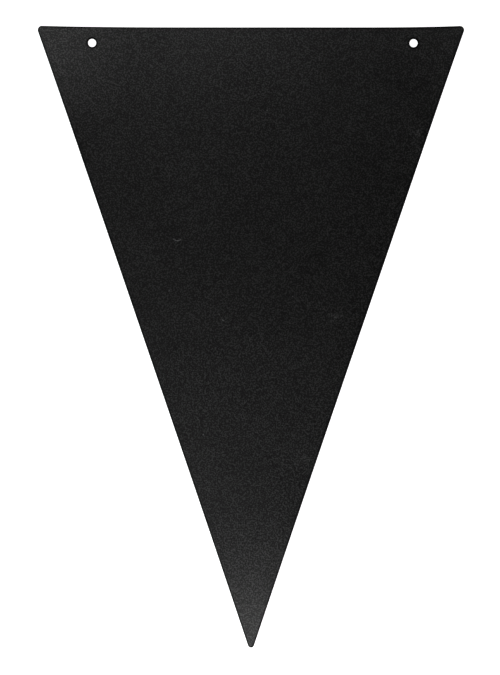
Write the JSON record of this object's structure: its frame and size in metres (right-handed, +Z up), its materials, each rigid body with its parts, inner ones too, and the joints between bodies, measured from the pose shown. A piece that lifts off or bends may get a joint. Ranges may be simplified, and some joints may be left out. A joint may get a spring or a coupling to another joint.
{
  "type": "chalkboard bunting pennant",
  "caption": "Long triangular black chalkboard pennant, die-cut from stiff sheet, with punched cord holes under its top edge, lying flat with slightly curled corners.",
  "frame": {"origin": "centre of the pennant's bounding box, on its underside, where it rests on the surface", "axes": "+Y along the pennant's length, from the rounded tip to the top edge with the cord holes; +Z up, out of the writing face; +X to the right"},
  "size_m": [0.2, 0.291, 0.0086],
  "materials": {
    "chalkboard_sheet": "matt black, finely grained chalkboard face with a faint sheen"
  },
  "bodies": {
    "root": {"left_eyelet_strip": "chalkboard_sheet", "right_eyelet_strip": "chalkboard_sheet", "pennant": "chalkboard_sheet"}
  },
  "joints": []
}
